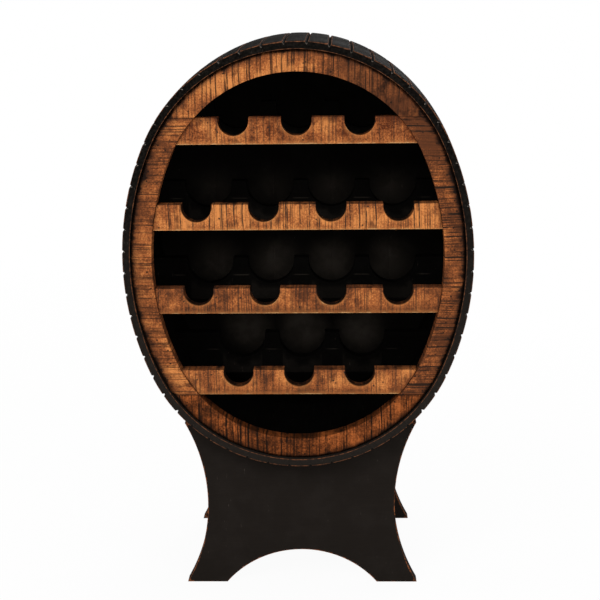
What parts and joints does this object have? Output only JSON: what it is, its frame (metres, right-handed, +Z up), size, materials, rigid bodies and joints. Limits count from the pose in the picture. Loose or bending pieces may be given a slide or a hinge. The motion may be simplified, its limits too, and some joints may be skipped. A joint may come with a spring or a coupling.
{
  "type": "wine rack",
  "caption": "Oval barrel-shaped wine rack of grooved black staves with a rough-sawn wooden head ring and notched bottle rails, on a waisted panel stand.",
  "frame": {"origin": "on the floor, under the middle of the barrel", "axes": "+Z up, -Y out of the barrel's mouth, +X to the right as seen from the front"},
  "size_m": [0.531, 0.36, 0.86],
  "materials": {
    "black_paint": "black painted wood, satin, rubbed through to copper brown along the edges",
    "sawn_wood": "rough-sawn wood, honey brown stain with dark glaze in the saw marks",
    "dowel_wood": "plain beech",
    "screw_steel": "zinc plated"
  },
  "bodies": {
    "root": {"stave_top": "black_paint", "stave_bottom": "black_paint", "stave_pair_01": "black_paint", "stave_pair_02": "black_paint", "stave_pair_03": "black_paint", "stave_pair_04": "black_paint", "stave_pair_05": "black_paint", "stave_pair_06": "black_paint", "stave_pair_07": "black_paint", "stave_pair_08": "black_paint", "stave_pair_09": "black_paint", "stave_pair_10": "black_paint", "stave_pair_11": "black_paint", "stave_pair_12": "black_paint", "stave_pair_13": "black_paint", "stave_pair_14": "black_paint", "stave_pair_15": "black_paint", "stave_pair_16": "black_paint", "stave_pair_17": "black_paint", "stave_pair_18": "black_paint", "stave_pair_19": "black_paint", "stave_pair_20": "black_paint", "stave_pair_21": "black_paint", "stave_pair_22": "black_paint", "stave_pair_23": "black_paint", "stave_pair_24": "black_paint", "stave_pair_25": "black_paint", "stave_pair_26": "black_paint", "stave_pair_27": "black_paint", "cradle_rail_1": "black_paint", "cradle_rail_2": "black_paint", "cradle_rail_3": "black_paint", "cradle_rail_4": "black_paint", "cradle_cleats": "black_paint", "back_board_1": "black_paint", "back_board_2": "black_paint", "back_board_3": "black_paint", "back_board_4": "black_paint", "back_board_5": "black_paint", "stand_front_panel": "black_paint", "stand_rear_panel": "black_paint", "stretcher_left": "black_paint", "stretcher_right": "black_paint", "ring_top": "sawn_wood", "ring_bottom": "sawn_wood", "ring_left": "sawn_wood", "ring_right": "sawn_wood", "neck_rail_1": "sawn_wood", "neck_rail_2": "sawn_wood", "neck_rail_3": "sawn_wood", "neck_rail_4": "sawn_wood", "rail_dowels": "dowel_wood", "ring_dowels": "dowel_wood", "cradle_screws": "screw_steel", "stand_screws": "screw_steel"}
  },
  "joints": []
}
